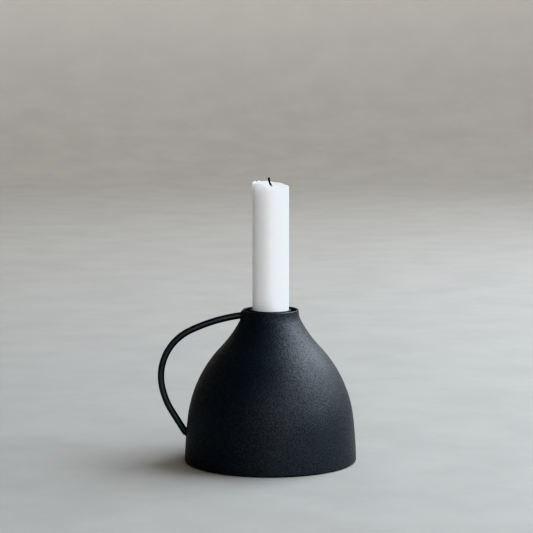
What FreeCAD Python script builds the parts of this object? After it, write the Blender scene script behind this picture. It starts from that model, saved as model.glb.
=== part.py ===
import FreeCAD, Part
import math
import os
import Sketcher

# A chamberstick: a low bell of spun steel with a wire handle, and the candle in its neck.
# Millimetres, +Z up. The origin is on the bell's axis, on the surface that the holder stands on.
# The handle lies in the XZ plane, on the -X side.

# Driving dimensions: alias, value, meaning. Slopes are in degrees.
SIZES = (
    # The bell, from the rim down. Its outline is a straight neck and four tangent arcs.
    ("bell_height", 93.0, "height of the rim"),
    ("bell_lift", 0.6, "height of the bell's lower edge, which hangs just clear of the table"),
    ("rim_radius", 17.0, "outer radius at the rim"),
    ("base_radius", 52.35, "outer radius at the lower edge"),
    ("bell_wall", 1.2, "thickness of the spun sheet"),
    ("bell_edge_round", 0.45, "rounding of the rim and of the lower edge"),
    ("neck_taper", 5.4, "slope of the straight neck from vertical"),
    ("neck_end_height", 90.6, "height where the straight neck ends"),
    ("throat_radius", 11.2, "radius of the tight hollow under the neck"),
    ("throat_end_height", 86.55, "height where the tight hollow ends"),
    ("hollow_radius", 72.3, "radius of the long hollow of the upper side"),
    ("hollow_end_height", 69.7, "height where the outline turns from hollow to full"),
    ("shoulder_radius", 75.3, "radius of the full shoulder"),
    ("side_radius", 300.0, "radius of the nearly upright side"),
    # The handle: a round bar along three tangent arcs and a straight lower run, with a rounded end.
    ("bar_radius", 2.0, "radius of the bar"),
    ("handle_start_reach", 15.8, "distance from the axis where the centre line starts"),
    ("handle_start_height", 89.6, "height of that start"),
    ("handle_start_slope", 6.4, "slope of the bar below horizontal at its start"),
    ("handle_top_radius", 101.6, "radius of the long top run"),
    ("handle_bend_radius", 31.3, "radius of the outer bend"),
    ("handle_side_radius", 45.3, "radius of the side run"),
    ("handle_reach", 66.7, "furthest distance of the centre line from the axis"),
    ("handle_end_reach", 52.2, "distance of the rounded end's centre from the axis"),
    ("handle_end_height", 17.5, "height of the rounded end's centre"),
    ("handle_end_slope", 31.7, "slope of the straight lower run from vertical"),
    # The weld beads round the handle's two joints, each a ring that lies on the bell's wall.
    ("upper_weld_reach", 17.4, "distance of the upper joint from the axis"),
    ("upper_weld_height", 89.4, "height of the upper joint"),
    ("upper_weld_tilt", 12.0, "slope of the bell's wall at the upper joint, from vertical"),
    ("upper_weld_radius", 2.2, "radius of the upper bead's ring"),
    ("upper_weld_bead", 0.9, "radius of the upper bead"),
    ("lower_weld_reach", 51.4, "distance of the lower joint from the axis"),
    ("lower_weld_height", 17.6, "height of the lower joint"),
    ("lower_weld_tilt", 5.0, "slope of the bell's wall at the lower joint, from vertical"),
    ("lower_weld_radius", 2.0, "radius of the lower bead's ring"),
    ("lower_weld_bead", 0.75, "radius of the lower bead"),
    # The candle cup, a drawn tube with a closed bottom, and the ring that carries it.
    ("cup_top_height", 93.0, "height of the cup's mouth, level with the bell's rim"),
    ("cup_depth", 25.6, "depth of the cup inside"),
    ("cup_radius", 11.3, "radius inside the cup"),
    ("cup_wall", 1.2, "thickness of the cup's wall and bottom"),
    ("cup_bottom_round", 1.0, "rounding of the cup's outer bottom edge"),
    ("cup_mouth_round", 0.4, "rounding of the cup's mouth"),
    ("ring_height", 79.0, "height of the support ring's underside"),
    ("ring_thickness", 1.5, "thickness of the support ring"),
    ("ring_radius", 20.4, "outer radius of the support ring"),
    # The foot.
    ("plate_height", 3.0, "height of the base plate's underside"),
    ("plate_thickness", 1.2, "thickness of the base plate"),
    ("plate_radius", 50.9, "radius of the base plate"),
    ("felt_radius", 47.0, "radius of the felt disc"),
    ("felt_edge_round", 0.6, "rounding of the felt's lower edge"),
    # The tack welds in the corners under the support ring and under the base plate.
    ("tack_length", 3.0, "half length of a tack weld"),
    ("tack_width", 1.15, "half width of a tack weld"),
    ("tack_depth", 1.05, "half depth of a tack weld"),
    # The candle and its wick.
    ("candle_radius", 11.0, "radius of the candle"),
    ("candle_foot_chamfer", 1.0, "chamfer of the candle's foot"),
    ("candle_blank_height", 175.0, "height of the candle before the flame has melted its top"),
    ("melt_radius", 60.0, "radius of the shallow dish that the flame has melted"),
    ("melt_offset", 8.7, "distance of the dish's lowest point from the axis"),
    ("melt_heading", -30.0, "direction of that point from the axis, in degrees from +X towards +Y"),
    ("melt_height", 167.4, "height of the dish's lowest point"),
    ("wick_radius", 0.7, "radius of the wick"),
    ("wick_bend_height", 168.4, "height where the burnt wick starts to lean"),
    ("wick_bend_radius", 4.0, "radius of the wick's bend"),
    ("wick_lean", 13.0, "slope of the burnt wick from vertical, towards -X"),
    ("wick_top_height", 173.35, "height of the burnt wick's end"),
)

RING_TACKS = 3
PLATE_TACKS = 6

# References that every sketch knows: its origin and its vertical axis.
ORIGIN = (-1, 1)
VERTICAL_AXIS = -2
START, END, CENTRE = 1, 2, 3

# Headings in a sketch, in degrees counterclockwise from its horizontal axis.
UP, LEFT, DOWN = 90, 180, 270

Y_AXIS = FreeCAD.Vector(0, 1, 0)
Z_AXIS = FreeCAD.Vector(0, 0, 1)

# How close an edge lies to a height, in millimetres, to count as being at it.
HEIGHT_TOLERANCE = 0.01

doc = FreeCAD.newDocument("chamberstick")
sheet = doc.addObject("Spreadsheet::Sheet", "sizes")
for row, (alias, value, meaning) in enumerate(SIZES, start=1):
    sheet.set(f"A{row}", meaning)
    sheet.set(f"B{row}", str(value))
    sheet.setAlias(f"B{row}", alias)
doc.recompute()


def size(alias):
    """A driving dimension's value, for a first guess of a shape that is then bound to the sheet."""
    return float(sheet.get(alias))


def new_sketch(body, name, role="XZ_Plane", height=None):
    """A sketch on one of the body's origin planes, raised along its normal if height is given."""
    sketch = body.newObject("Sketcher::SketchObject", name)
    plane = next(feature for feature in body.Origin.OriginFeatures if feature.Role == role)
    sketch.AttachmentSupport = [(plane, "")]
    sketch.MapMode = "FlatFace"
    if height:
        sketch.setExpression("AttachmentOffset.Base.z", height)
    return sketch


def relate(sketch, kind, *references):
    """A geometric constraint."""
    sketch.addConstraint(Sketcher.Constraint(kind, *references))


def measure(sketch, kind, *references, name, value=None):
    """A dimension called name, bound to the sheet expression value, or to the cell of its name."""
    expression = value or f"sizes.{name}"
    amount = sketch.evalExpression(expression)
    if kind == "Angle":
        amount = math.radians(amount.Value)
    index = sketch.addConstraint(Sketcher.Constraint(kind, *references, amount))
    sketch.renameConstraint(index, name)
    sketch.setExpression(f"Constraints.{name}", expression)


def polar(radius, heading):
    """The sketch vector of that length and heading."""
    angle = math.radians(heading)
    return FreeCAD.Vector(radius * math.cos(angle), radius * math.sin(angle), 0)


def add_line(sketch, start, end):
    """A line, as (index, its first point, its last point)."""
    return sketch.addGeometry(Part.LineSegment(start, end)), START, END


def add_bends(sketch, start, heading, bends):
    """Arcs that follow each other smoothly from start, the way a bar is bent.

    Each bend is (radius, heading at its end). Returns (index, first point, last point) for each
    arc: a sketch stores every arc counterclockwise, so a right-hand bend runs from END to START.
    """
    chain = []
    for radius, end_heading in bends:
        side = 90 if end_heading > heading else -90
        centre = start + polar(radius, heading + side)
        angles = (math.radians(heading - side), math.radians(end_heading - side))
        points = (START, END)
        if side < 0:
            angles = angles[::-1]
            points = points[::-1]
        circle = Part.Circle(centre, Z_AXIS, radius)
        chain.append((sketch.addGeometry(Part.ArcOfCircle(circle, *angles)), *points))
        start = centre + polar(radius, end_heading - side)
        heading = end_heading
    return chain


def add_circle(sketch, name, radius):
    """A circle about the sketch's origin."""
    value = sketch.evalExpression(radius)
    circle = sketch.addGeometry(Part.Circle(FreeCAD.Vector(), Z_AXIS, value))
    relate(sketch, "Coincident", circle, CENTRE, *ORIGIN)
    measure(sketch, "Radius", circle, name=name, value=radius)


def make_smooth(sketch, chain):
    """Makes each piece of a chain tangent to the next."""
    for (piece, _, last), (following, first, _) in zip(chain, chain[1:]):
        relate(sketch, "Tangent", piece, last, following, first)


def draw_bell(sketch):
    """The half outline of the bell as a solid: neck, four tangent arcs, foot, axis and rim."""
    taper = size("neck_taper")
    rim = FreeCAD.Vector(size("rim_radius"), size("bell_height"), 0)
    neck_length = (size("bell_height") - size("neck_end_height")) / math.cos(math.radians(taper))
    neck_end = rim + polar(neck_length, DOWN + taper)
    # The end slopes are first guesses. The heights and the base radius settle them.
    bends = (
        (size("throat_radius"), DOWN + 27),
        (size("hollow_radius"), DOWN + 43),
        (size("shoulder_radius"), DOWN + 6),
        (size("side_radius"), DOWN + 2),
    )
    neck = add_line(sketch, rim, neck_end)
    throat, hollow, shoulder, side = add_bends(sketch, neck_end, DOWN + taper, bends)
    make_smooth(sketch, [neck, throat, hollow, shoulder, side])

    side_end = sketch.getPoint(side[0], side[2])
    foot_centre = FreeCAD.Vector(0, side_end.y, 0)
    rim_centre = FreeCAD.Vector(0, rim.y, 0)
    foot = add_line(sketch, side_end, foot_centre)
    axis = add_line(sketch, foot_centre, rim_centre)
    mouth = add_line(sketch, rim_centre, rim)
    relate(sketch, "Coincident", side[0], side[2], foot[0], START)
    relate(sketch, "Coincident", foot[0], END, axis[0], START)
    relate(sketch, "Coincident", axis[0], END, mouth[0], START)
    relate(sketch, "Coincident", mouth[0], END, neck[0], START)
    relate(sketch, "Horizontal", foot[0])
    relate(sketch, "Horizontal", mouth[0])
    relate(sketch, "PointOnObject", axis[0], START, VERTICAL_AXIS)
    relate(sketch, "PointOnObject", axis[0], END, VERTICAL_AXIS)

    measure(sketch, "DistanceX", *ORIGIN, neck[0], START, name="rim_radius")
    measure(sketch, "DistanceY", *ORIGIN, neck[0], START, name="bell_height")
    measure(sketch, "DistanceX", *ORIGIN, foot[0], START, name="base_radius")
    measure(sketch, "DistanceY", *ORIGIN, foot[0], START, name="bell_lift")
    measure(sketch, "Angle", neck[0], name="neck_taper", value="(sizes.neck_taper - 90) * 1 deg")
    measure(sketch, "DistanceY", *ORIGIN, *neck[::2], name="neck_end_height")
    measure(sketch, "DistanceY", *ORIGIN, *throat[::2], name="throat_end_height")
    measure(sketch, "DistanceY", *ORIGIN, *hollow[::2], name="hollow_end_height")
    measure(sketch, "Radius", throat[0], name="throat_radius")
    measure(sketch, "Radius", hollow[0], name="hollow_radius")
    measure(sketch, "Radius", shoulder[0], name="shoulder_radius")
    measure(sketch, "Radius", side[0], name="side_radius")


def revolve(body, kind, name, sketch):
    """A full turn of the sketch about its vertical axis."""
    feature = body.newObject(kind, name)
    feature.Profile = sketch
    feature.ReferenceAxis = (sketch, ["V_Axis"])
    feature.Angle = 360
    return feature


def edges_where(feature, test):
    """The names of the feature's edges whose middle point passes the test."""
    names = []
    for number, edge in enumerate(feature.Shape.Edges, start=1):
        middle = edge.valueAt((edge.FirstParameter + edge.LastParameter) / 2)
        if test(middle):
            names.append(f"Edge{number}")
    return names


def at_height(*heights):
    """A test for edges_where: true at any of these heights."""
    return lambda point: any(abs(point.z - height) < HEIGHT_TOLERANCE for height in heights)


def round_edges(body, name, test, radius, kind="PartDesign::Fillet", bound="Radius"):
    """A fillet or chamfer on the edges of the body's last feature that pass the test."""
    doc.recompute()
    base = body.Tip
    feature = body.newObject(kind, name)
    feature.Base = (base, edges_where(base, test))
    feature.setExpression(bound, radius)
    doc.recompute()


def make_disc(label, radius, height, thickness, hole=None):
    """A round plate, or a ring if it has a hole, whose underside is at the given height.

    The sizes are sheet expressions. Without a height the disc stands on the table.
    """
    body = doc.addObject("PartDesign::Body", label)
    sketch = new_sketch(body, f"{label}_outline", "XY_Plane", height)
    for name, value in (("outer_radius", radius), ("hole_radius", hole)):
        if value:
            add_circle(sketch, name, value)
    pad = body.newObject("PartDesign::Pad", f"{label}_plate")
    pad.Profile = sketch
    pad.setExpression("Length", thickness)
    doc.recompute()
    return body


def sink_hole(body, name, radius, height, depth):
    """A round hole on the axis, cut down from the given height."""
    sketch = new_sketch(body, f"{name}_outline", "XY_Plane", height)
    add_circle(sketch, "hole_radius", radius)
    pocket = body.newObject("PartDesign::Pocket", name)
    pocket.Profile = sketch
    pocket.setExpression("Length", depth)
    doc.recompute()


def make_bar(label, path_maker, radius):
    """A round bar swept along the path that path_maker draws."""
    body = doc.addObject("PartDesign::Body", label)
    path = new_sketch(body, f"{label}_path")
    path_maker(path)
    section = body.newObject("Sketcher::SketchObject", f"{label}_section")
    section.AttachmentSupport = [(path, "Edge1")]
    section.MapMode = "NormalToEdge"
    section.MapPathParameter = 0
    add_circle(section, "bar_radius", radius)
    doc.recompute()
    pipe = body.newObject("PartDesign::AdditivePipe", f"{label}_bar")
    pipe.Profile = section
    pipe.Spine = (path, [f"Edge{number}" for number in range(1, len(path.Shape.Edges) + 1)])
    doc.recompute()
    return body


def make_body_shell():
    """The spun bell: a solid of revolution, hollowed from its mouth and its foot."""
    body = doc.addObject("PartDesign::Body", "body_shell")
    sketch = new_sketch(body, "bell_outline")
    draw_bell(sketch)
    solid = revolve(body, "PartDesign::Revolution", "bell_solid", sketch)
    doc.recompute()
    flat_ends = [
        f"Face{number}"
        for number, face in enumerate(solid.Shape.Faces, start=1)
        if isinstance(face.Surface, Part.Plane)
    ]
    wall = body.newObject("PartDesign::Thickness", "bell_sheet")
    wall.Base = (solid, flat_ends)
    wall.setExpression("Value", "sizes.bell_wall")
    wall.Reversed = True
    edges = at_height(size("bell_height"), size("bell_lift"))
    round_edges(body, "bell_edges", edges, "sizes.bell_edge_round")
    return body


def draw_handle_path(sketch):
    """The handle's centre line: three tangent arcs and a straight lower run."""
    start = FreeCAD.Vector(-size("handle_start_reach"), size("handle_start_height"), 0)
    end = FreeCAD.Vector(-size("handle_end_reach"), size("handle_end_height"), 0)
    first_heading = LEFT + size("handle_start_slope")
    last_heading = DOWN + size("handle_end_slope")
    # The headings between the arcs are first guesses. The reach and the end point settle them.
    bends = (
        (size("handle_top_radius"), LEFT + 26),
        (size("handle_bend_radius"), DOWN + 10),
        (size("handle_side_radius"), last_heading),
    )
    top, bend, side = add_bends(sketch, start, first_heading, bends)
    run = add_line(sketch, sketch.getPoint(side[0], side[2]), end)
    make_smooth(sketch, [top, bend, side, run])

    # A short guide line fixes the slope at the start of the first arc.
    guide = add_line(sketch, start - polar(size("bar_radius"), first_heading), start)
    sketch.toggleConstruction(guide[0])
    make_smooth(sketch, [guide, top])
    measure(sketch, "Distance", guide[0], name="guide_length", value="sizes.bar_radius")
    start_slope = "(180 + sizes.handle_start_slope) * 1 deg"
    end_slope = "(sizes.handle_end_slope - 90) * 1 deg"
    measure(sketch, "Angle", guide[0], name="start_slope", value=start_slope)
    measure(sketch, "Angle", run[0], name="end_slope", value=end_slope)
    measure(sketch, "DistanceX", top[0], START, *ORIGIN, name="handle_start_reach")
    measure(sketch, "DistanceY", *ORIGIN, top[0], START, name="handle_start_height")
    measure(sketch, "DistanceX", run[0], END, *ORIGIN, name="handle_end_reach")
    measure(sketch, "DistanceY", *ORIGIN, run[0], END, name="handle_end_height")
    measure(sketch, "Radius", top[0], name="handle_top_radius")
    measure(sketch, "Radius", bend[0], name="handle_bend_radius")
    measure(sketch, "Radius", side[0], name="handle_side_radius")
    measure(
        sketch, "DistanceX", bend[0], CENTRE, *ORIGIN,
        name="bend_centre_reach", value="sizes.handle_reach - sizes.handle_bend_radius",
    )


def make_handle():
    """The bent bar with its rounded lower end, both ends shaped to the bell's outside."""
    body = make_bar("handle", draw_handle_path, "sizes.bar_radius")
    end = body.newObject("PartDesign::AdditiveSphere", "handle_rounded_end")
    end.setExpression("Radius", "sizes.bar_radius")
    end.setExpression("Placement.Base.x", "-sizes.handle_end_reach")
    end.setExpression("Placement.Base.z", "sizes.handle_end_height")
    outline = new_sketch(body, "handle_bell_outline")
    draw_bell(outline)
    revolve(body, "PartDesign::Groove", "handle_ends_on_bell", outline)
    doc.recompute()
    return body


def cut_away(label, piece, tools):
    """The piece with every tool's solid taken away, under the given label."""
    for number, tool in enumerate(tools, start=1):
        last = number == len(tools)
        cut = doc.addObject("Part::Cut", label if last else f"{label}_cut_{number}")
        cut.Base = piece
        cut.Tool = tool
        piece = cut
    doc.recompute()
    return piece


def make_bead(label, side, tools):
    """The weld bead round one of the handle's joints: a torus, less the bar and the bell's wall."""
    ring = doc.addObject("Part::Torus", f"{label}_ring")
    ring.Placement.Rotation = FreeCAD.Rotation(Y_AXIS, size(f"{side}_weld_tilt") - 90)
    ring.setExpression("Radius1", f"sizes.{side}_weld_radius")
    ring.setExpression("Radius2", f"sizes.{side}_weld_bead")
    ring.setExpression("Placement.Base.x", f"-sizes.{side}_weld_reach")
    ring.setExpression("Placement.Base.z", f"sizes.{side}_weld_height")
    return cut_away(label, ring, tools)


def make_tacks(label, count, radius, height, tools):
    """Tack welds spaced evenly round the axis, in the corner at the given radius and height."""
    tacks = []
    for number in range(count):
        heading = (number + 0.5) * 360 / count
        tack = doc.addObject("Part::Ellipsoid", f"{label}_{number + 1}")
        tack.Placement.Rotation = FreeCAD.Rotation(Z_AXIS, heading)
        tack.setExpression("Radius1", "sizes.tack_depth")
        tack.setExpression("Radius2", "sizes.tack_width")
        tack.setExpression("Radius3", "sizes.tack_length")
        tack.setExpression("Placement.Base.x", f"{radius} * cos({heading} deg)")
        tack.setExpression("Placement.Base.y", f"{radius} * sin({heading} deg)")
        tack.setExpression("Placement.Base.z", height)
        tacks.append(tack)
    group = doc.addObject("Part::Compound", f"{label}_group")
    group.Links = tacks
    return cut_away(label, group, tools)


def make_candle_cup():
    """The drawn cup: a round blank, bored from its mouth, with its edges rounded."""
    radius = "sizes.cup_radius + sizes.cup_wall"
    bottom = "sizes.cup_top_height - sizes.cup_depth - sizes.cup_wall"
    length = "sizes.cup_depth + sizes.cup_wall"
    cup = make_disc("candle_cup", radius, bottom, length)
    sink_hole(cup, "cup_bore", "sizes.cup_radius", "sizes.cup_top_height", "sizes.cup_depth")
    bottom_height = size("cup_top_height") - size("cup_depth") - size("cup_wall")
    round_edges(cup, "cup_bottom_edge", at_height(bottom_height), "sizes.cup_bottom_round")
    round_edges(cup, "cup_mouth_edges", at_height(size("cup_top_height")), "sizes.cup_mouth_round")
    return cup


def make_candle():
    """The candle: a cylinder with a chamfered foot, a melted dish on top and the wick's bore."""
    seat = "sizes.cup_top_height - sizes.cup_depth"
    length = "sizes.candle_blank_height - sizes.cup_top_height + sizes.cup_depth"
    candle = make_disc("candle", "sizes.candle_radius", seat, length)
    foot = at_height(size("cup_top_height") - size("cup_depth"))
    chamfer = "sizes.candle_foot_chamfer"
    round_edges(candle, "candle_foot", foot, chamfer, "PartDesign::Chamfer", "Size")
    dish = candle.newObject("PartDesign::SubtractiveSphere", "melted_dish")
    dish.setExpression("Radius", "sizes.melt_radius")
    dish.setExpression("Placement.Base.x", "sizes.melt_offset * cos(sizes.melt_heading * 1 deg)")
    dish.setExpression("Placement.Base.y", "sizes.melt_offset * sin(sizes.melt_heading * 1 deg)")
    dish.setExpression("Placement.Base.z", "sizes.melt_height + sizes.melt_radius")
    sink_hole(candle, "wick_bore", "sizes.wick_radius", "sizes.candle_blank_height", length)
    return candle


def draw_wick_path(sketch):
    """The wick's centre line: up through the candle, then a bend and the leaning burnt end."""
    foot = FreeCAD.Vector(0, size("cup_top_height") - size("cup_depth"), 0)
    bend_start = FreeCAD.Vector(0, size("wick_bend_height"), 0)
    lean_heading = UP + size("wick_lean")
    stem = add_line(sketch, foot, bend_start)
    (bend,) = add_bends(sketch, bend_start, UP, [(size("wick_bend_radius"), lean_heading)])
    tip_start = sketch.getPoint(bend[0], bend[2])
    tip_length = (size("wick_top_height") - tip_start.y) / math.cos(math.radians(size("wick_lean")))
    tip = add_line(sketch, tip_start, tip_start + polar(tip_length, lean_heading))
    make_smooth(sketch, [stem, bend, tip])
    relate(sketch, "PointOnObject", stem[0], START, VERTICAL_AXIS)
    relate(sketch, "Vertical", stem[0])
    measure(
        sketch, "DistanceY", *ORIGIN, stem[0], START,
        name="seat_height", value="sizes.cup_top_height - sizes.cup_depth",
    )
    measure(sketch, "DistanceY", *ORIGIN, stem[0], END, name="wick_bend_height")
    measure(sketch, "DistanceY", *ORIGIN, tip[0], END, name="wick_top_height")
    measure(sketch, "Radius", bend[0], name="wick_bend_radius")
    measure(sketch, "Angle", tip[0], name="wick_lean", value="(90 + sizes.wick_lean) * 1 deg")


def check(sub_parts):
    """Stops the build if any object failed or any sub-part isn't a valid closed solid."""
    failed = [item.Name for item in doc.Objects if {"Invalid", "Error"} & set(item.State)]
    for part in sub_parts:
        shape = part.Shape
        if shape.isNull() or not shape.isValid() or not shape.Solids:
            failed.append(part.Label)
    if failed:
        raise RuntimeError(f"failed: {failed}")


body_shell = make_body_shell()
handle = make_handle()
candle_cup = make_candle_cup()
cup_support_ring = make_disc(
    "cup_support_ring", "sizes.ring_radius", "sizes.ring_height", "sizes.ring_thickness",
    hole="sizes.cup_radius + sizes.cup_wall",
)
base_plate = make_disc(
    "base_plate", "sizes.plate_radius", "sizes.plate_height", "sizes.plate_thickness"
)
felt_pad = make_disc("felt_pad", "sizes.felt_radius", None, "sizes.plate_height")
round_edges(felt_pad, "felt_edge", at_height(0), "sizes.felt_edge_round")

sub_parts = [
    body_shell,
    handle,
    make_bead("handle_weld_upper", "upper", [handle, body_shell]),
    make_bead("handle_weld_lower", "lower", [handle, body_shell]),
    candle_cup,
    cup_support_ring,
    make_tacks(
        "ring_tack_welds", RING_TACKS, "sizes.ring_radius", "sizes.ring_height",
        [cup_support_ring, body_shell],
    ),
    base_plate,
    make_tacks(
        "base_tack_welds", PLATE_TACKS, "sizes.plate_radius", "sizes.plate_height",
        [base_plate, body_shell],
    ),
    felt_pad,
    make_candle(),
    make_bar("wick", draw_wick_path, "sizes.wick_radius"),
]
doc.recompute()
check(sub_parts)

os.makedirs("parts", exist_ok=True)
for part in sub_parts:
    part.Shape.exportStep(f"parts/{part.Label}.step")
    box = part.Shape.BoundBox
    print(
        f"{part.Label}: {len(part.Shape.Solids)} solid(s), {part.Shape.Volume:.1f} mm3,",
        f"x {box.XMin:.2f} to {box.XMax:.2f}, y {box.YMin:.2f} to {box.YMax:.2f},",
        f"z {box.ZMin:.2f} to {box.ZMax:.2f}",
    )
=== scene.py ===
import math

import bpy
from mathutils import Matrix, Vector, noise


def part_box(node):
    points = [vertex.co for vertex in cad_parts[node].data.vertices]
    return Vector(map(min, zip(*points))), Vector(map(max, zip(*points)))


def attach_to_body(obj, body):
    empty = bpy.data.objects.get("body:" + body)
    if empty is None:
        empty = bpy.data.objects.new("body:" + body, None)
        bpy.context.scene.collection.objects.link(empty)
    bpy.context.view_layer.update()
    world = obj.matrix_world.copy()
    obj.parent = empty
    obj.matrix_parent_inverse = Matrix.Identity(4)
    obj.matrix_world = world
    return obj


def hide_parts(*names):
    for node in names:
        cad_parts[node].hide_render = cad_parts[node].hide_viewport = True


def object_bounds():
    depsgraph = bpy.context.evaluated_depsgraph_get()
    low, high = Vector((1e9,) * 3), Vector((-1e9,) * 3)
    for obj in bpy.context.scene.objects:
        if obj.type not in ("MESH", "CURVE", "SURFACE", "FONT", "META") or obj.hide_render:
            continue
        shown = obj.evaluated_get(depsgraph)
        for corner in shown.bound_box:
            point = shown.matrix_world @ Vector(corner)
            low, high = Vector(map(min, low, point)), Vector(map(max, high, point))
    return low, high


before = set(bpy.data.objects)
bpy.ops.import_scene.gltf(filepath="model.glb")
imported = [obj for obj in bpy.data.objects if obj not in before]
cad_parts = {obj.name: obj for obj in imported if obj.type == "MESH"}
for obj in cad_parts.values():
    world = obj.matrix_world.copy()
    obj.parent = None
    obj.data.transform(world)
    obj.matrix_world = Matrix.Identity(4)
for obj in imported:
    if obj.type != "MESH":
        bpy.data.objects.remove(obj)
CAD_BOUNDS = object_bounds()

MM = 0.001

CUP_RIM_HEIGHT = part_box("candle_cup")[1].z
CANDLE_LOW, CANDLE_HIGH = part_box("candle")
CANDLE_RADIUS = (CANDLE_HIGH.x - CANDLE_LOW.x) / 2
# The hardened pool of wax lies this far below the highest point of the candle's rim.
POOL_DROP = 3.3 * MM
POOL_HEIGHT = CANDLE_HIGH.z - POOL_DROP


# ---------------------------------------------------------------- small helpers


def smooth(value):
    """Eases from 0 to 1 as value goes from 0 to 1, and stays at the ends outside that."""
    value = min(max(value, 0.0), 1.0)
    return value * value * (3 - 2 * value)


def blend(start, end, amount):
    """The value that far of the way from start to end."""
    return start + (end - start) * amount


def hump(distance, width):
    """A rounded bump of height 1 that fades out over the given half width."""
    return math.exp(-((distance / width) ** 2))


def heading_gap(heading, other):
    """The smallest turn between two headings, in degrees."""
    return abs((heading - other + 180) % 360 - 180)


def make_piece(name, points, faces, material):
    """A smooth-shaded mesh object."""
    mesh = bpy.data.meshes.new(name)
    mesh.from_pydata(points, [], faces)
    mesh.polygons.foreach_set("use_smooth", [True] * len(mesh.polygons))
    mesh.materials.append(material)
    mesh.validate()
    piece = bpy.data.objects.new(name, mesh)
    bpy.context.scene.collection.objects.link(piece)
    return piece


def attach(piece, body, node_name):
    """Says what the piece rides on, and hides the CAD node it stands for."""
    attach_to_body(piece, body)
    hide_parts(node_name)


def turned_ring(segments, place):
    """Points right round the Z axis, where place(heading in degrees) gives (radius, height)."""
    ring = []
    for number in range(segments):
        heading = 360 * number / segments
        radius, height = place(heading)
        angle = math.radians(heading)
        ring.append(Vector((radius * math.cos(angle), radius * math.sin(angle), height)))
    return ring


def skin(rings, wrap=False, open_top=False):
    """Points and faces of a surface through equal rings of points, each ring closed on itself.

    Rings that run upwards, each counterclockwise seen from above, make faces that look out.
    Wrapped rings join the last ring to the first. Otherwise a fan of faces closes the bottom,
    and the top too unless it stays open.
    """
    count = len(rings[0])
    points = [point for ring in rings for point in ring]
    faces = []

    def add_fan(level, looks_down):
        """Closes the ring on that level with triangles that meet in its middle."""
        centre = len(points)
        points.append(sum(rings[level], Vector()) / count)
        for side in range(count):
            corners = (level * count + side, level * count + (side + 1) % count, centre)
            faces.append(corners[::-1] if looks_down else corners)

    bands = len(rings) if wrap else len(rings) - 1
    for level in range(bands):
        lower = level * count
        upper = (level + 1) % len(rings) * count
        for side in range(count):
            following = (side + 1) % count
            faces.append((lower + side, lower + following, upper + following, upper + side))
    if not wrap:
        add_fan(0, looks_down=True)
        if not open_top:
            add_fan(len(rings) - 1, looks_down=False)
    return points, faces


def join(parts):
    """One list of points and one of faces from several."""
    points = []
    faces = []
    for part_points, part_faces in parts:
        shift = len(points)
        points.extend(part_points)
        faces.extend(tuple(index + shift for index in face) for face in part_faces)
    return points, faces


# ---------------------------------------------------------------- materials


def new_material(name):
    """A node material: its tree, its Principled shader, and the place in metres on the object."""
    material = bpy.data.materials.new(name)
    material.use_nodes = True
    tree = material.node_tree
    place = tree.nodes.new("ShaderNodeTexCoord").outputs["Object"]
    return material, tree, tree.nodes["Principled BSDF"], place


def add(tree, kind, inputs, **settings):
    """A new node. An input given as a socket is linked, and any other value is set."""
    node = tree.nodes.new(kind)
    for name, value in settings.items():
        setattr(node, name, value)
    for name, value in inputs.items():
        if isinstance(value, bpy.types.NodeSocket):
            tree.links.new(value, node.inputs[name])
        else:
            node.inputs[name].default_value = value
    return node


def grain(tree, place, size, detail=2.0, roughness=0.5, distortion=0.0):
    """Noise whose features are about size metres wide."""
    inputs = {
        "Vector": place,
        "Scale": 1 / size,
        "Detail": detail,
        "Roughness": roughness,
        "Distortion": distortion,
    }
    return add(tree, "ShaderNodeTexNoise", inputs).outputs["Fac"]


def ramp(tree, value, start, end, low, high):
    """Maps value from start..end to low..high, eased and clamped."""
    inputs = {"Value": value, "From Min": start, "From Max": end, "To Min": low, "To Max": high}
    node = add(tree, "ShaderNodeMapRange", inputs, interpolation_type="SMOOTHSTEP")
    return node.outputs["Result"]


def math_node(tree, operation, *values):
    """The result of a Math node's operation on the values."""
    inputs = dict(enumerate(values))
    return add(tree, "ShaderNodeMath", inputs, operation=operation).outputs["Value"]


def mix_colour(tree, amount, first, second):
    """Goes from the first colour to the second as amount goes from 0 to 1."""
    # The mix node has sockets for each kind of value: inputs 6 and 7 and output 2 are the colours.
    inputs = {0: amount, 6: first, 7: second}
    return add(tree, "ShaderNodeMix", inputs, data_type="RGBA").outputs[2]


def bump(tree, height, depth, strength, under=None):
    """A normal for a relief about depth metres deep, laid over the normal called under."""
    inputs = {"Height": height, "Distance": depth, "Strength": strength}
    if under:
        inputs["Normal"] = under
    return add(tree, "ShaderNodeBump", inputs).outputs["Normal"]


def height_above_table(tree, place):
    """The object stands on Z = 0, so this is the place's Z."""
    return add(tree, "ShaderNodeSeparateXYZ", {"Vector": place}).outputs["Z"]


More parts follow.
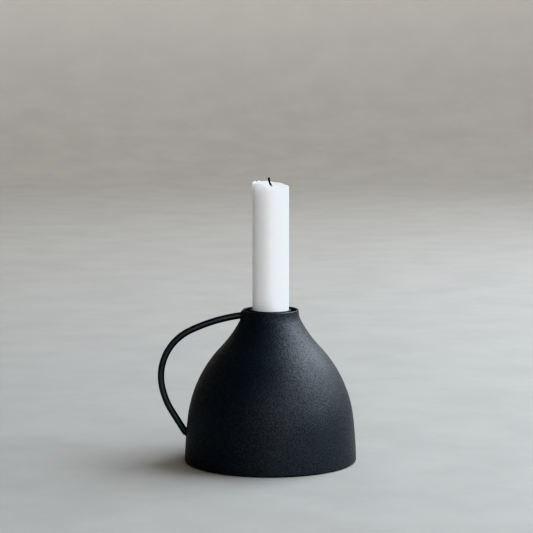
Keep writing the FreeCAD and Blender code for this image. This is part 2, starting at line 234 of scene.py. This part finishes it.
def powder_coat(name, grain_depth, pit_roughness, peak_roughness, gloss):
    """Black textured powder coat: sandy grain, handling marks, worn edges, and painted shade in the
    grain's pits.
    """
    material, tree, shader, place = new_material(name)
    sand = grain(tree, place, 1.0 * MM, detail=2.5, roughness=0.7)
    grit = grain(tree, place, 0.35 * MM, detail=2.0, roughness=0.6)
    flow = grain(tree, place, 8 * MM, detail=1.0)
    smudges = grain(tree, place, 30 * MM, detail=4.0, roughness=0.6, distortion=0.6)
    broad = bump(tree, flow, 0.1 * MM, 0.2)
    sandy = bump(tree, sand, grain_depth, 1.0, under=broad)
    tree.links.new(bump(tree, grit, 0.06 * MM, 0.6, under=sandy), shader.inputs["Normal"])

    height = height_above_table(tree, place)
    rim_low, rim_high = CUP_RIM_HEIGHT - 0.6 * MM, CUP_RIM_HEIGHT - 0.1 * MM
    rim = ramp(tree, height, rim_low, rim_high, 0.0, 1.0)
    foot = ramp(tree, height, 0.7 * MM, 1.5 * MM, 1.0, 0.0)
    flakes = grain(tree, place, 2.5 * MM, detail=5.0, roughness=0.7)
    scuffs = ramp(tree, flakes, 0.46, 0.62, 0.0, 1.0)
    wear = math_node(tree, "MULTIPLY", math_node(tree, "MAXIMUM", rim, foot), scuffs)

    # The grain's pits are painted darker than its tops, following the bump's relief: painted shade
    # in the hollows.
    pit_shade_colour, peak_colour = (0.003, 0.0031, 0.0034, 1), (0.0115, 0.0138, 0.0176, 1)
    scuff_colour = (0.035, 0.037, 0.04, 1)
    pit_shade_mask = ramp(tree, sand, 0.38, 0.62, 0.0, 1.0)
    coat = mix_colour(tree, pit_shade_mask, pit_shade_colour, peak_colour)
    colour = mix_colour(tree, wear, coat, scuff_colour)
    tree.links.new(colour, shader.inputs["Base Color"])

    matt = ramp(tree, sand, 0.35, 0.65, pit_roughness, peak_roughness)
    handled = math_node(tree, "ADD", matt, ramp(tree, smudges, 0.4, 0.65, 0.03, -0.03))
    worn = math_node(tree, "MULTIPLY_ADD", wear, -0.12, handled)
    tree.links.new(worn, shader.inputs["Roughness"])
    shader.inputs["Specular IOR Level"].default_value = gloss
    return material


def wax():
    """White candle wax: cloudy, a little translucent, with faint pull marks along its length."""
    material, tree, shader, place = new_material("wax")
    clouds = grain(tree, place, 9 * MM, detail=4.0, roughness=0.6)
    stretched = add(tree, "ShaderNodeMapping", {"Vector": place, "Scale": (1.0, 1.0, 0.06)})
    streaks = grain(tree, stretched.outputs["Vector"], 1.1 * MM, detail=3.0, roughness=0.6)
    pores = grain(tree, place, 0.5 * MM, detail=2.0)
    clear_colour, cloudy_colour = (0.95, 0.927, 0.913, 1), (0.93, 0.909, 0.896, 1)
    cloudy = ramp(tree, clouds, 0.35, 0.7, 0.0, 1.0)
    colour = mix_colour(tree, cloudy, clear_colour, cloudy_colour)
    tree.links.new(colour, shader.inputs["Base Color"])
    tree.links.new(ramp(tree, streaks, 0.3, 0.7, 0.34, 0.5), shader.inputs["Roughness"])
    pulled = bump(tree, streaks, 0.03 * MM, 0.35)
    tree.links.new(bump(tree, pores, 0.02 * MM, 0.3, under=pulled), shader.inputs["Normal"])
    shader.inputs["IOR"].default_value = 1.43
    shader.inputs["Subsurface Weight"].default_value = 0.55
    shader.inputs["Subsurface Radius"].default_value = (1.0, 0.94, 0.88)
    shader.inputs["Subsurface Scale"].default_value = 4.5 * MM
    return material


def burnt_wick():
    """Charred cotton: matt black, ashy in places, waxy grey where it leaves the candle."""
    material, tree, shader, place = new_material("burnt_wick")
    fibres = grain(tree, place, 0.16 * MM, detail=3.0, roughness=0.7)
    char_colour, ash_colour = (0.004, 0.004, 0.004, 1), (0.018, 0.017, 0.016, 1)
    waxed_colour = (0.32, 0.3, 0.28, 1)
    ash = ramp(tree, grain(tree, place, 0.5 * MM, detail=2.0), 0.55, 0.72, 0.0, 1.0)
    char = mix_colour(tree, ash, char_colour, ash_colour)
    height = height_above_table(tree, place)
    wax_line = POOL_HEIGHT + 0.7 * MM
    waxed = ramp(tree, height, wax_line, wax_line + 0.9 * MM, 0.8, 0.0)
    colour = mix_colour(tree, waxed, char, waxed_colour)
    tree.links.new(colour, shader.inputs["Base Color"])
    tree.links.new(ramp(tree, fibres, 0.3, 0.7, 0.75, 1.0), shader.inputs["Roughness"])
    tree.links.new(bump(tree, fibres, 0.06 * MM, 1.0), shader.inputs["Normal"])
    return material


def felt():
    """Dark grey pressed wool: matted fibres, small pills, a soft sheen, and painted shade in the
    dips of its relief.
    """
    material, tree, shader, place = new_material("felt")
    mat = grain(tree, place, 1.4 * MM, detail=6.0, roughness=0.75, distortion=3.0)
    fibres = grain(tree, place, 0.4 * MM, detail=4.0, roughness=0.7, distortion=5.0)
    patches = grain(tree, place, 12 * MM, detail=3.0)
    # The wool is painted darker where the matted relief dips: painted shade in its hollows.
    dip_shade_colour, top_colour = (0.018, 0.018, 0.02, 1), (0.05, 0.05, 0.053, 1)
    dust_colour = (0.085, 0.08, 0.075, 1)
    dip_shade_mask = ramp(tree, mat, 0.35, 0.7, 0.0, 1.0)
    wool = mix_colour(tree, dip_shade_mask, dip_shade_colour, top_colour)
    dust = ramp(tree, patches, 0.45, 0.75, 0.0, 0.35)
    colour = mix_colour(tree, dust, wool, dust_colour)
    tree.links.new(colour, shader.inputs["Base Color"])
    tree.links.new(ramp(tree, fibres, 0.3, 0.7, 0.85, 1.0), shader.inputs["Roughness"])
    relief = math_node(tree, "MULTIPLY_ADD", fibres, 0.6, mat)
    tree.links.new(bump(tree, relief, 0.5 * MM, 1.0), shader.inputs["Normal"])
    shader.inputs["Sheen Weight"].default_value = 0.35
    shader.inputs["Sheen Roughness"].default_value = 0.6
    shader.inputs["Specular IOR Level"].default_value = 0.2
    return material


POWDER_COAT = powder_coat("powder_coat", 0.3 * MM, 0.62, 0.46, gloss=0.5)
# The coat flows out smoother and glossier on the thin bar than on the broad sheet.
BAR_COAT = powder_coat("powder_coat_bar", 0.12 * MM, 0.46, 0.38, gloss=0.8)
WAX = wax()
BURNT_WICK = burnt_wick()
FELT = felt()

STEEL_COATS = {
    "body_shell": POWDER_COAT,
    "handle": BAR_COAT,
    "candle_cup": POWDER_COAT,
    "cup_support_ring": POWDER_COAT,
    "ring_tack_welds": POWDER_COAT,
    "base_plate": POWDER_COAT,
    "base_tack_welds": POWDER_COAT,
}
for node_name, coat in STEEL_COATS.items():
    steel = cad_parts[node_name]
    steel.data.materials.clear()
    steel.data.materials.append(coat)


# ---------------------------------------------------------------- the candle

# The rim slopes: it burnt lowest on the side away from this heading, in degrees from +X towards +Y.
RIM_TOP_HEADING = 150
RIM_SLOPE = 1.44 * MM

# A shelf of the rim that stayed high, from one heading to the other. It rises within the first
# turn, in degrees, and steps down to a notch within the second.
SHELF_START = 200
SHELF_END = 266
SHELF_RISE_TURN = 15
SHELF_STEP_TURN = 19
SHELF_HEIGHT = POOL_HEIGHT + 2.95 * MM

# Hardened lumps along the rim, and its dips below 0: heading, height and half width in degrees.
RIM_LUMPS = (
    (271, -0.35 * MM, 7),
    (20, 0.3 * MM, 12),
    (58, 0.35 * MM, 12),
    (90, 0.35 * MM, 6),
    (103, 0.3 * MM, 5),
    (114, 0.4 * MM, 4),
    (131, 0.75 * MM, 5.5),
    (140, -0.35 * MM, 25),
    (153, 0.65 * MM, 5),
    (174, 0.35 * MM, 6),
    (192, 0.6 * MM, 6),
    (209, 0.3 * MM, 5),
    (231, 0.25 * MM, 4),
)

# Beads of spilled wax on the side by the notch: heading, height over the pool, width, thickness.
SPILL_BEADS = (
    (250, 1.6 * MM, 0.7 * MM, 0.38 * MM),
    (257, 1.4 * MM, 0.8 * MM, 0.45 * MM),
    (253, 0.5 * MM, 0.6 * MM, 0.38 * MM),
    (262, 0.5 * MM, 0.7 * MM, 0.36 * MM),
    (258, -0.4 * MM, 0.55 * MM, 0.36 * MM),
    (269, 0.1 * MM, 0.6 * MM, 0.36 * MM),
    (265, -0.7 * MM, 0.45 * MM, 0.3 * MM),
    (271, -0.9 * MM, 0.4 * MM, 0.26 * MM),
)

# Fine unevenness of the rim: its height, and how fast it changes on the way round.
RIM_NOISE = 0.1 * MM
RIM_NOISE_PACE = 6.4

# The side has faint ripples, longer upwards than round.
RIPPLE_NOISE = 0.05 * MM
RIPPLE_NOISE_PACE = 2.2
RIPPLE_LENGTH = 30 * MM

CANDLE_CHAMFER = 1.0 * MM
CREST_INSET = 0.42 * MM
CREST_DROP = 0.5 * MM

# The rim's inner wall runs inwards by this much, and by this share of its own height.
WALL_RUN = 0.4 * MM
WALL_LEAN = 0.5

# The pool's rings stop short of the middle, at this share of the way there.
POOL_REACH = 0.94


def rim_height(heading):
    """Height of the candle's melted rim."""
    angle = math.radians(heading)
    height = POOL_HEIGHT + RIM_SLOPE * (1 + math.cos(angle - math.radians(RIM_TOP_HEADING)))
    on_shelf = smooth((heading - SHELF_START) / SHELF_RISE_TURN)
    on_shelf *= smooth((SHELF_END - heading) / SHELF_STEP_TURN)
    height = blend(height, max(height, SHELF_HEIGHT), on_shelf)
    for lump_heading, lump_height, width in RIM_LUMPS:
        height += lump_height * hump(heading_gap(heading, lump_heading), width)
    around = Vector((math.cos(angle), math.sin(angle), 0))
    height += RIM_NOISE * noise.noise(around * RIM_NOISE_PACE)
    return min(height, CANDLE_HIGH.z)


def spill(heading, height):
    """How far spilled wax stands proud of the candle's side at that heading and height."""
    proud = 0.0
    for bead_heading, bead_height, width, thickness in SPILL_BEADS:
        across = math.radians(heading_gap(heading, bead_heading)) * CANDLE_RADIUS
        upward = height - POOL_HEIGHT - bead_height
        proud += thickness * hump(math.hypot(across, upward), width)
    return proud


def candle_side(heading, amount):
    """The straight side, from the chamfered foot at 0 to just below the rim at 1."""
    top = rim_height(heading) - CREST_DROP
    # The rings crowd towards the top, where the wax is uneven.
    crowding = 1.8
    height = blend(CANDLE_LOW.z + CANDLE_CHAMFER, top, 1 - (1 - amount) ** crowding)
    angle = math.radians(heading)
    place = Vector((math.cos(angle), math.sin(angle), height / RIPPLE_LENGTH))
    ripple = RIPPLE_NOISE * noise.noise(place * RIPPLE_NOISE_PACE)
    return CANDLE_RADIUS + ripple + spill(heading, height), height


def candle_crest(heading, amount):
    """The rounded top of the rim, from its outer side at 0 to its highest line at 1."""
    turn = math.radians(90 * amount)
    height = rim_height(heading) - CREST_DROP * (1 - math.sin(turn))
    radius = CANDLE_RADIUS - CREST_INSET * (1 - math.cos(turn))
    return radius + spill(heading, height) * math.cos(turn), height


def candle_wall(heading, amount):
    """The inside of the rim, from its highest line at 0 down to the edge of the pool at 1."""
    rise = rim_height(heading) - POOL_HEIGHT
    crest_radius = CANDLE_RADIUS - CREST_INSET
    run = WALL_RUN + WALL_LEAN * max(rise, 0)
    return crest_radius - run * amount, POOL_HEIGHT + rise * (1 - smooth(amount))


def candle_pool(heading, amount):
    """The hardened pool, from its edge at 0 almost to the middle at 1."""
    radius, height = candle_wall(heading, 1)
    return radius * (1 - POOL_REACH * amount), height


def settle(point):
    """Lifts a point inside the rim: wax crept up round the wick, and hardened in small lumps."""
    wick_foot = Vector((0.7 * MM, 0))
    creep_height, creep_width = 0.55 * MM, 1.3 * MM
    lump_height, lump_size = 0.08 * MM, 2.5 * MM
    from_wick = (point.to_2d() - wick_foot).length
    point.z += creep_height * hump(from_wick, creep_width)
    point.z += lump_height * noise.noise(point / lump_size)


def make_candle():
    """The candle: chamfered foot, side, melted rim, and a pool that rises round the wick."""
    segments = 240
    # Each surface with its number of rings, and whether it lies inside the rim.
    surfaces = (
        (candle_side, 90, False),
        (candle_crest, 7, False),
        (candle_wall, 12, True),
        (candle_pool, 14, True),
    )
    rings = [
        turned_ring(segments, lambda heading: (CANDLE_RADIUS - CANDLE_CHAMFER, CANDLE_LOW.z)),
        turned_ring(segments, lambda heading: candle_side(heading, 0)),
    ]
    for surface, steps, inside in surfaces:
        for step in range(1, steps + 1):
            ring = turned_ring(segments, lambda heading: surface(heading, step / steps))
            if inside:
                for point in ring:
                    settle(point)
            rings.append(ring)
    candle = make_piece("candle_wax", *skin(rings), WAX)
    attach(candle, "candle", "candle")


# ---------------------------------------------------------------- the wick

WICK_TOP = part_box("wick")[1].z

# The wick leaves the pool beside the axis, kinks and leans towards -X.
WICK_ROUTE = (
    Vector((0.75 * MM, 0, POOL_HEIGHT - 2 * MM)),
    Vector((0.75 * MM, 0, POOL_HEIGHT + 0.3 * MM)),
    Vector((-0.45 * MM, 0, POOL_HEIGHT + 2.4 * MM)),
    Vector((-0.85 * MM, 0.1 * MM, POOL_HEIGHT + 4.1 * MM)),
    Vector((-1.12 * MM, 0, WICK_TOP - 0.3 * MM)),
)

STRANDS = 3
STRAND_RADIUS = 0.4 * MM
# Each strand lies this far from the wick's middle, and goes round it this many times.
STRAND_OFFSET = 0.33 * MM
STRAND_TURNS = 3.2

# Shares of the wick's length: where the strands start to part and for how long they do so, and the
# same for their round ends.
FRAY_START, FRAY_LENGTH = 0.85, 0.15
END_START, END_LENGTH = 0.93, 0.07


def wick_middle(amount):
    """A smooth curve through the route: Catmull-Rom, with its ends repeated."""
    last = len(WICK_ROUTE) - 1
    # Stopping just short of the end keeps the place within the last stretch of the route.
    just_short = 0.9999
    place = min(amount, just_short) * last
    index = int(place)
    t = place - index
    before, start, end, after = (
        WICK_ROUTE[min(max(index + shift, 0), last)] for shift in (-1, 0, 1, 2)
    )
    return 0.5 * (
        2 * start
        + (end - before) * t
        + (2 * before - 5 * start + 4 * end - after) * t**2
        + (3 * start - before - 3 * end + after) * t**3
    )


def strand_ring(strand, amount):
    """The outline of one strand at that share of the wick's length."""
    sides = 10
    near = 0.01
    fray_width, blunt_end = 0.35, 0.02
    roughness, roughness_pace, strand_shift = 0.22, 26, 7.3
    fray = 1 + fray_width * smooth((amount - FRAY_START) / FRAY_LENGTH)
    past_start = smooth((amount - END_START) / END_LENGTH)
    end_round = math.sqrt(max(1 - past_start**2, blunt_end))

    along = (wick_middle(min(amount + near, 1)) - wick_middle(max(amount - near, 0))).normalized()
    sideways = along.cross(Vector((0, 1, 0))).normalized()
    upright = Matrix((sideways, along.cross(sideways), along)).transposed()
    twist = 2 * math.pi * (STRAND_TURNS * amount + strand / STRANDS)
    strand_middle = Vector((math.cos(twist), math.sin(twist), 0)) * STRAND_OFFSET * fray

    ring = []
    for side in range(sides):
        angle = 2 * math.pi * side / sides
        place = Vector((angle, amount * roughness_pace, strand * strand_shift))
        rough = 1 + roughness * noise.noise(place)
        offset = Vector((math.cos(angle), math.sin(angle), 0)) * STRAND_RADIUS * rough * end_round
        ring.append(wick_middle(amount) + upright @ (strand_middle + offset))
    return ring


def make_wick():
    """The burnt wick, of twisted strands."""
    steps = 70
    strands = []
    for strand in range(STRANDS):
        strands.append(skin([strand_ring(strand, step / steps) for step in range(steps + 1)]))
    wick = make_piece("wick_strands", *join(strands), BURNT_WICK)
    attach(wick, "candle", "wick")


make_candle()
make_wick()


# ---------------------------------------------------------------- weld beads and felt


def make_weld_bead(name, node_name, tilt, ring_radius, bead_radius):
    """A rippled bead round the bar, lying on the bell's wall, which slopes by tilt degrees."""
    low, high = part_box(node_name)
    slope = math.radians(tilt)
    outward = Vector((-math.cos(slope), 0, math.sin(slope)))
    upward = Vector((math.sin(slope), 0, math.cos(slope)))
    sideways = Vector((0, -1, 0))
    reach = low.x + bead_radius + ring_radius * math.sin(slope)
    centre = Vector((reach, 0, (low.z + high.z) / 2))
    around, across = 120, 16
    # Shares of the bead's radius: between the ripples, the ripples' height, and the unevenness.
    valley, ripple_height, unevenness = 0.95, 0.07, 0.08
    ripples = 17
    uneven_pace = 1.7
    rings = []
    for number in range(around):
        heading = 2 * math.pi * number / around
        spoke = upward * math.cos(heading) + sideways * math.sin(heading)
        uneven = noise.noise(spoke * uneven_pace + Vector((tilt, 0, 0)))
        ripple = abs(math.sin(ripples * heading / 2))
        radius = bead_radius * (valley + ripple_height * ripple + unevenness * uneven)
        ring = []
        for side in range(across):
            angle = 2 * math.pi * side / across
            offset = spoke * math.cos(angle) + outward * math.sin(angle)
            ring.append(centre + spoke * ring_radius + offset * radius)
        rings.append(ring)
    bead = make_piece(name, *skin(rings, wrap=True), BAR_COAT)
    attach(bead, "holder", node_name)


def make_felt():
    """A cut disc of felt: slightly uneven edge, soft lower corner, and a matted underside."""
    low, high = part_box("felt_pad")
    disc_radius = (high.x - low.x) / 2
    segments, face_rings, corner_rings = 240, 30, 10
    innermost = 2 * MM
    corner = 0.8 * MM
    top_inset = 0.1 * MM
    face_relief, corner_relief = 0.12 * MM, 0.1 * MM
    edge_noise, edge_noise_pace = 0.25 * MM, 9
    mat_size = 3 * MM

    def felt_ring(inset, height, relief):
        """A ring that far in from the cut edge, lifted unevenly by up to the relief."""

        def place(heading):
            angle = math.radians(heading)
            toward = Vector((math.cos(angle), math.sin(angle), 0))
            reach = disc_radius - inset + edge_noise * noise.noise(toward * edge_noise_pace)
            lift = 0.5 + 0.5 * noise.noise(toward * reach / mat_size)
            return reach, height + relief * lift

        return turned_ring(segments, place)

    rings = []
    for number in range(face_rings):
        inset = blend(disc_radius - innermost, corner, number / (face_rings - 1))
        rings.append(felt_ring(inset, low.z, face_relief))
    for number in range(1, corner_rings):
        turn = math.radians(90 * number / corner_rings)
        inset = corner * (1 - math.sin(turn))
        rings.append(felt_ring(inset, low.z + corner * (1 - math.cos(turn)), corner_relief))
    rings.append(felt_ring(0, (low.z + high.z) / 2, 0))
    rings.append(felt_ring(top_inset, high.z, 0))
    pad = make_piece("felt_disc", *skin(rings), FELT)
    attach(pad, "holder", "felt_pad")


make_weld_bead("weld_bead_upper", "handle_weld_upper", 12.0, 2.2 * MM, 0.9 * MM)
make_weld_bead("weld_bead_lower", "handle_weld_lower", 5.0, 2.0 * MM, 0.75 * MM)
make_felt()


# ---------------------------------------------------------------- floor, light and camera


def make_floor():
    """A pale round studio: a flat floor that curves up into a paler wall on every side."""
    middle_radius, floor_radius, cove_radius, wall_height = 0.5, 1.9, 0.9, 3.0
    segments, cove_steps = 96, 24
    rings = []
    for radius in (middle_radius, floor_radius):
        rings.append(turned_ring(segments, lambda heading: (radius, 0)))
    for step in range(1, cove_steps + 1):
        angle = math.radians(90 * step / cove_steps)
        radius = floor_radius + cove_radius * math.sin(angle)
        height = cove_radius * (1 - math.cos(angle))
        rings.append(turned_ring(segments, lambda heading: (radius, height)))
    rings.append(turned_ring(segments, lambda heading: (floor_radius + cove_radius, wall_height)))

    material, tree, shader, place = new_material("pale_floor")
    mottle = grain(tree, place, 60 * MM, detail=5.0, roughness=0.6)
    dark_ground, light_ground = (0.345, 0.324, 0.298, 1), (0.375, 0.353, 0.325, 1)
    wall_colour, wall_start = (0.6, 0.57, 0.53, 1), 0.5
    worn = ramp(tree, mottle, 0.3, 0.7, 0.0, 1.0)
    ground = mix_colour(tree, worn, dark_ground, light_ground)
    up_the_wall = ramp(tree, height_above_table(tree, place), 0.0, wall_start, 0.0, 1.0)
    colour = mix_colour(tree, up_the_wall, ground, wall_colour)
    tree.links.new(colour, shader.inputs["Base Color"])
    shader.inputs["Roughness"].default_value = 0.8
    points, faces = skin(rings, open_top=True)
    # The studio is seen from inside, so its faces are turned to look in.
    inward = [face[::-1] for face in faces]
    make_piece("floor", points, inward, material)


def add_softbox(name, place, target, size, power, colour):
    """A rectangular soft light, kept out of the camera's sight."""
    data = bpy.data.lights.new(name, "AREA")
    data.shape = "RECTANGLE"
    data.size, data.size_y = size
    data.energy = power
    data.color = colour
    light = bpy.data.objects.new(name, data)
    light.location = place
    light.rotation_euler = (place - target).to_track_quat("Z", "Y").to_euler()
    light.visible_camera = False
    bpy.context.scene.collection.objects.link(light)


def light_object(name, heading, height_angle, size, power, colour):
    """A softbox aimed at the middle of the object.

    The heading turns from the camera's side, 0, to the object's right, 90, and its back, 180.
    """
    distance = 1.6
    turn, lift = math.radians(heading), math.radians(height_angle)
    level = Vector((math.sin(turn), -math.cos(turn), 0)) * math.cos(lift)
    direction = level + Vector((0, 0, math.sin(lift)))
    middle = (CAD_BOUNDS[0] + CAD_BOUNDS[1]) / 2
    add_softbox(name, middle + direction * distance, middle, size, power, colour)


def set_world(colour, strength):
    """A dim, even surround."""
    world = bpy.data.worlds.new("studio")
    world.use_nodes = True
    background = world.node_tree.nodes["Background"]
    background.inputs["Color"].default_value = (*colour, 1)
    background.inputs["Strength"].default_value = strength
    bpy.context.scene.world = world


def add_camera():
    """Far back and a little above, like a long lens at a table."""
    distance, height = 1.4, 0.2908
    # A camera that isn't tilted looks straight down, and one at 90 degrees looks level.
    tilt, turn = math.radians(83.01), math.radians(0.10)
    data = bpy.data.cameras.new("camera")
    data.sensor_width = 36.0
    data.lens = 157.37
    camera = bpy.data.objects.new("camera", data)
    camera.location = (0, -distance, height)
    camera.rotation_euler = (tilt, 0, turn)
    bpy.context.scene.collection.objects.link(camera)
    bpy.context.scene.camera = camera


DAYLIGHT = (0.765, 0.885, 1.0)
WHITE = (0.97, 0.97, 1.0)
WARM_WHITE = (1.0, 0.95, 0.9)

BACKDROP_LIGHT_PLACE = Vector((0, 1.2, 2.2))
BACKDROP_MIDDLE = Vector((0, 2.8, 0.7))

make_floor()
light_object("key", 112, 42, (1.9, 1.2), 55, DAYLIGHT)
light_object("fill", 68, 26, (1.3, 1.0), 13, DAYLIGHT)
light_object("front", 12, 19, (1.3, 1.0), 12, WHITE)
add_softbox("backdrop", BACKDROP_LIGHT_PLACE, BACKDROP_MIDDLE, (2.4, 0.6), 30, WARM_WHITE)
set_world((0.9, 0.95, 1.0), 0.01)
add_camera()
bpy.context.scene.view_settings.view_transform = "Khronos PBR Neutral"
